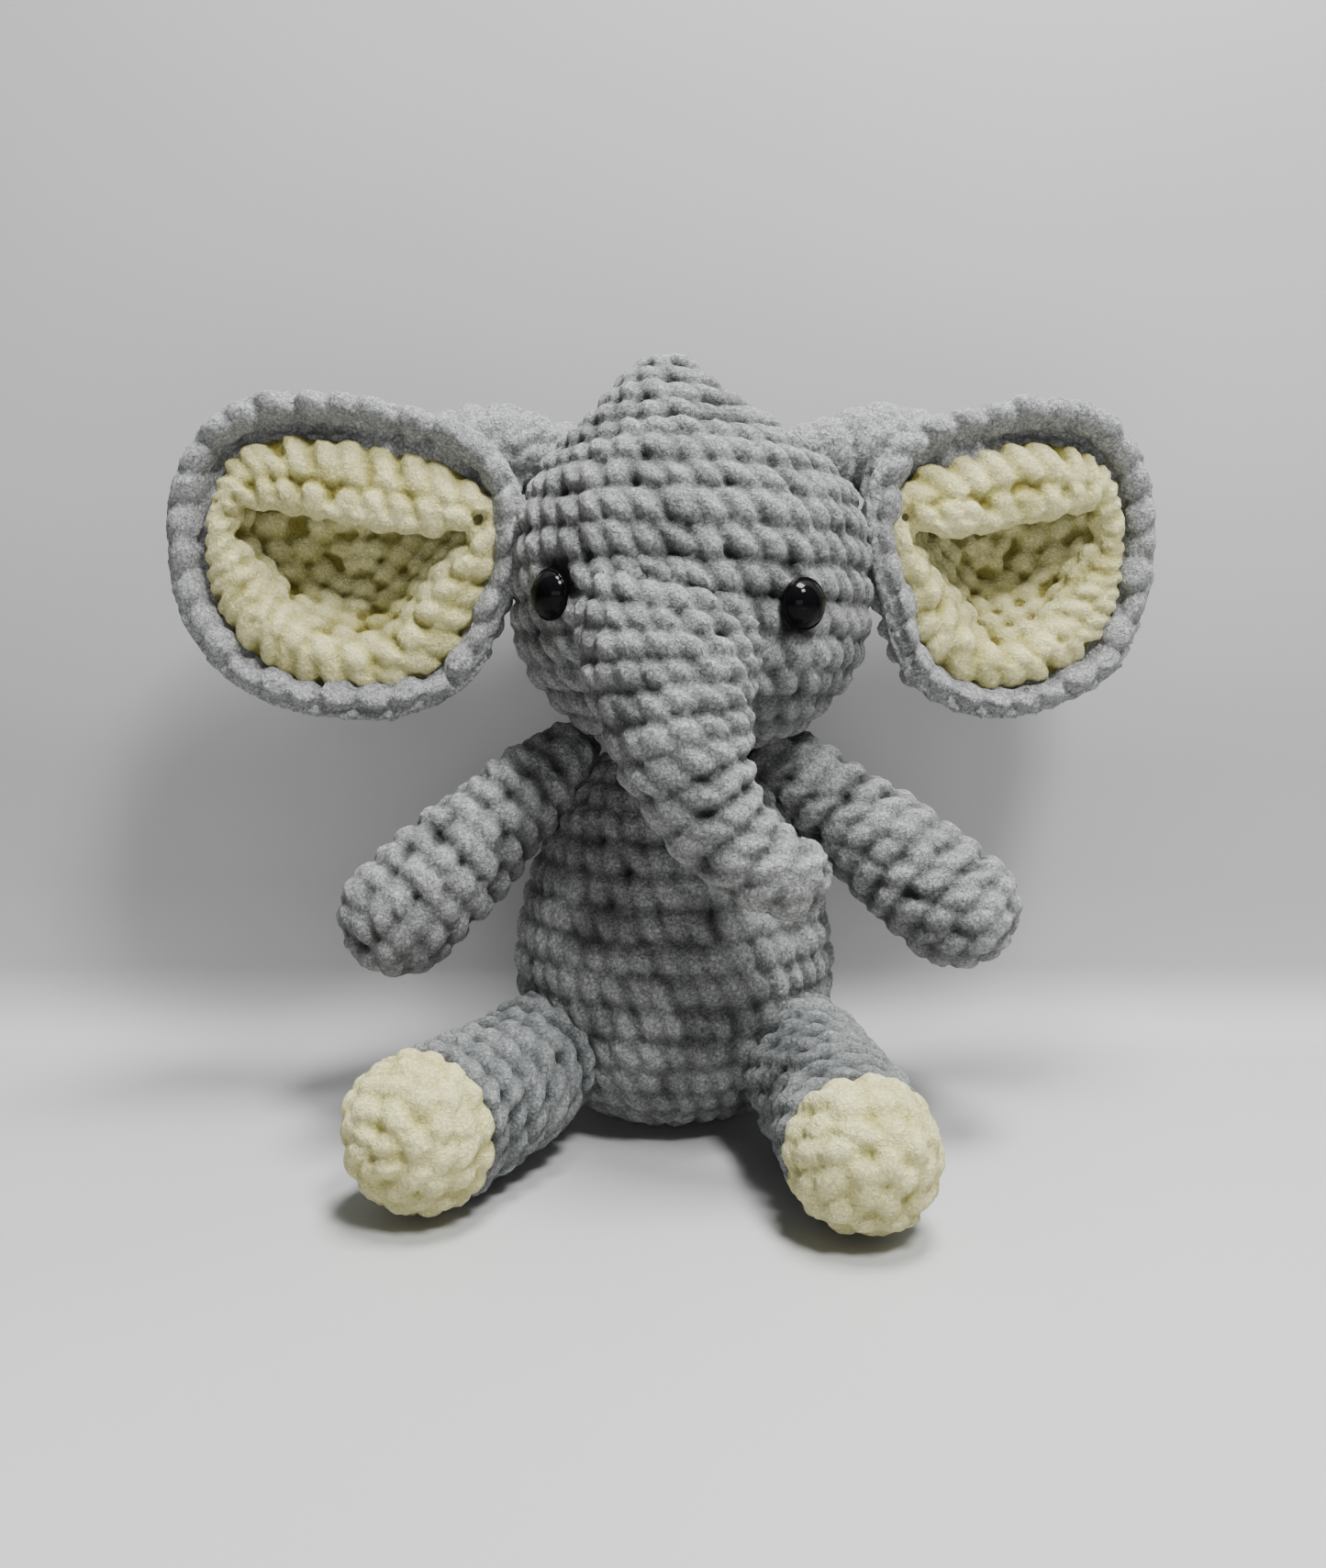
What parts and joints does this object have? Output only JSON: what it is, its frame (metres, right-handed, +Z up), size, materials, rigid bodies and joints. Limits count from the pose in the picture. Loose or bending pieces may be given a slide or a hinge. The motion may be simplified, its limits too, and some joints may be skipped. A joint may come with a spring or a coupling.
{
  "type": "stuffed elephant",
  "caption": "Hand-crocheted stuffed elephant that sits with its legs forward, with cupped ears, a hanging trunk and sewn-on limbs.",
  "frame": {"origin": "middle of the flat seat under the body", "axes": "+Z up, the toy faces -Y, +X to the viewer's right, from ear to ear"},
  "size_m": [0.3002, 0.18, 0.2295],
  "materials": {
    "grey_yarn": "matte",
    "cream_yarn": "matte",
    "filling": "matte",
    "eye_plastic": "gloss",
    "washer_plastic": "satin"
  },
  "bodies": {
    "torso": {"body_shell": "grey_yarn", "body_stuffing": "filling", "arm_seam_left": "grey_yarn", "arm_seam_right": "grey_yarn", "leg_seam_left": "grey_yarn", "leg_seam_right": "grey_yarn"},
    "neck": {"neck_seam": "grey_yarn"},
    "head": {"head_shell": "grey_yarn", "head_stuffing": "filling", "eye_left": "eye_plastic", "eye_right": "eye_plastic", "eye_washer_left": "washer_plastic", "eye_washer_right": "washer_plastic"},
    "trunk": {"trunk_shell": "grey_yarn", "trunk_stuffing": "filling"},
    "ear_left": {"ear_back_left": "grey_yarn", "ear_lining_left": "cream_yarn", "ear_seam_left": "grey_yarn"},
    "ear_right": {"ear_back_right": "grey_yarn", "ear_lining_right": "cream_yarn", "ear_seam_right": "grey_yarn"},
    "arm_left": {"arm_shell_left": "grey_yarn", "arm_stuffing_left": "filling"},
    "arm_right": {"arm_shell_right": "grey_yarn", "arm_stuffing_right": "filling"},
    "leg_left": {"leg_shell_left": "grey_yarn", "foot_cap_left": "cream_yarn", "leg_stuffing_left": "filling"},
    "leg_right": {"leg_shell_right": "grey_yarn", "foot_cap_right": "cream_yarn", "leg_stuffing_right": "filling"},
    "tail": {"tail_cord": "grey_yarn", "tail_tuft": "grey_yarn"}
  },
  "joints": [
    {"name": "head_nod", "type": "hinge", "parent": "torso", "child": "neck", "pos_m": [0, 0, 0.109], "axis": [1, 0, 0], "range_deg": [-4, 4], "stiffness_Nm_per_rad": 2.5},
    {"name": "head_turn", "type": "hinge", "parent": "neck", "child": "head", "pos_m": [0, 0, 0.109], "axis": [0, 0, 1], "range_deg": [-12, 12], "stiffness_Nm_per_rad": 1},
    {"name": "trunk_lift", "type": "hinge", "parent": "head", "child": "trunk", "pos_m": [-0.0005, -0.05, 0.146], "axis": [-1, 0, 0], "range_deg": [-3, 35], "stiffness_Nm_per_rad": 0.3},
    {"name": "ear_left_flap", "type": "hinge", "parent": "head", "child": "ear_left", "pos_m": [-0.054, -0.008, 0.178], "axis": [0, 0, 1], "range_deg": [-12, 14], "stiffness_Nm_per_rad": 0.3},
    {"name": "ear_right_flap", "type": "hinge", "parent": "head", "child": "ear_right", "pos_m": [0.061, -0.01, 0.178], "axis": [0, 0, -1], "range_deg": [-8, 20], "stiffness_Nm_per_rad": 0.3},
    {"name": "arm_left_lift", "type": "hinge", "parent": "torso", "child": "arm_left", "pos_m": [-0.042, -0.009, 0.102], "axis": [-0.5278, 0.8493, 0], "range_deg": [-3, 25], "stiffness_Nm_per_rad": 0.3},
    {"name": "arm_right_lift", "type": "hinge", "parent": "torso", "child": "arm_right", "pos_m": [0.043, -0.009, 0.1015], "axis": [-0.3997, -0.9167, 0], "range_deg": [-3, 25], "stiffness_Nm_per_rad": 0.3},
    {"name": "leg_left_lift", "type": "hinge", "parent": "torso", "child": "leg_left", "pos_m": [-0.0315, -0.0425, 0.021], "axis": [-0.7273, 0.6863, 0], "range_deg": [-10, 15], "stiffness_Nm_per_rad": 1},
    {"name": "leg_right_lift", "type": "hinge", "parent": "torso", "child": "leg_right", "pos_m": [0.024, -0.048, 0.021], "axis": [-0.8858, -0.464, 0], "range_deg": [-10, 15], "stiffness_Nm_per_rad": 1},
    {"name": "tail_lift", "type": "hinge", "parent": "torso", "child": "tail", "pos_m": [0, 0.0505, 0.034], "axis": [1, 0, 0], "range_deg": [-5, 35], "stiffness_Nm_per_rad": 0.02}
  ]
}
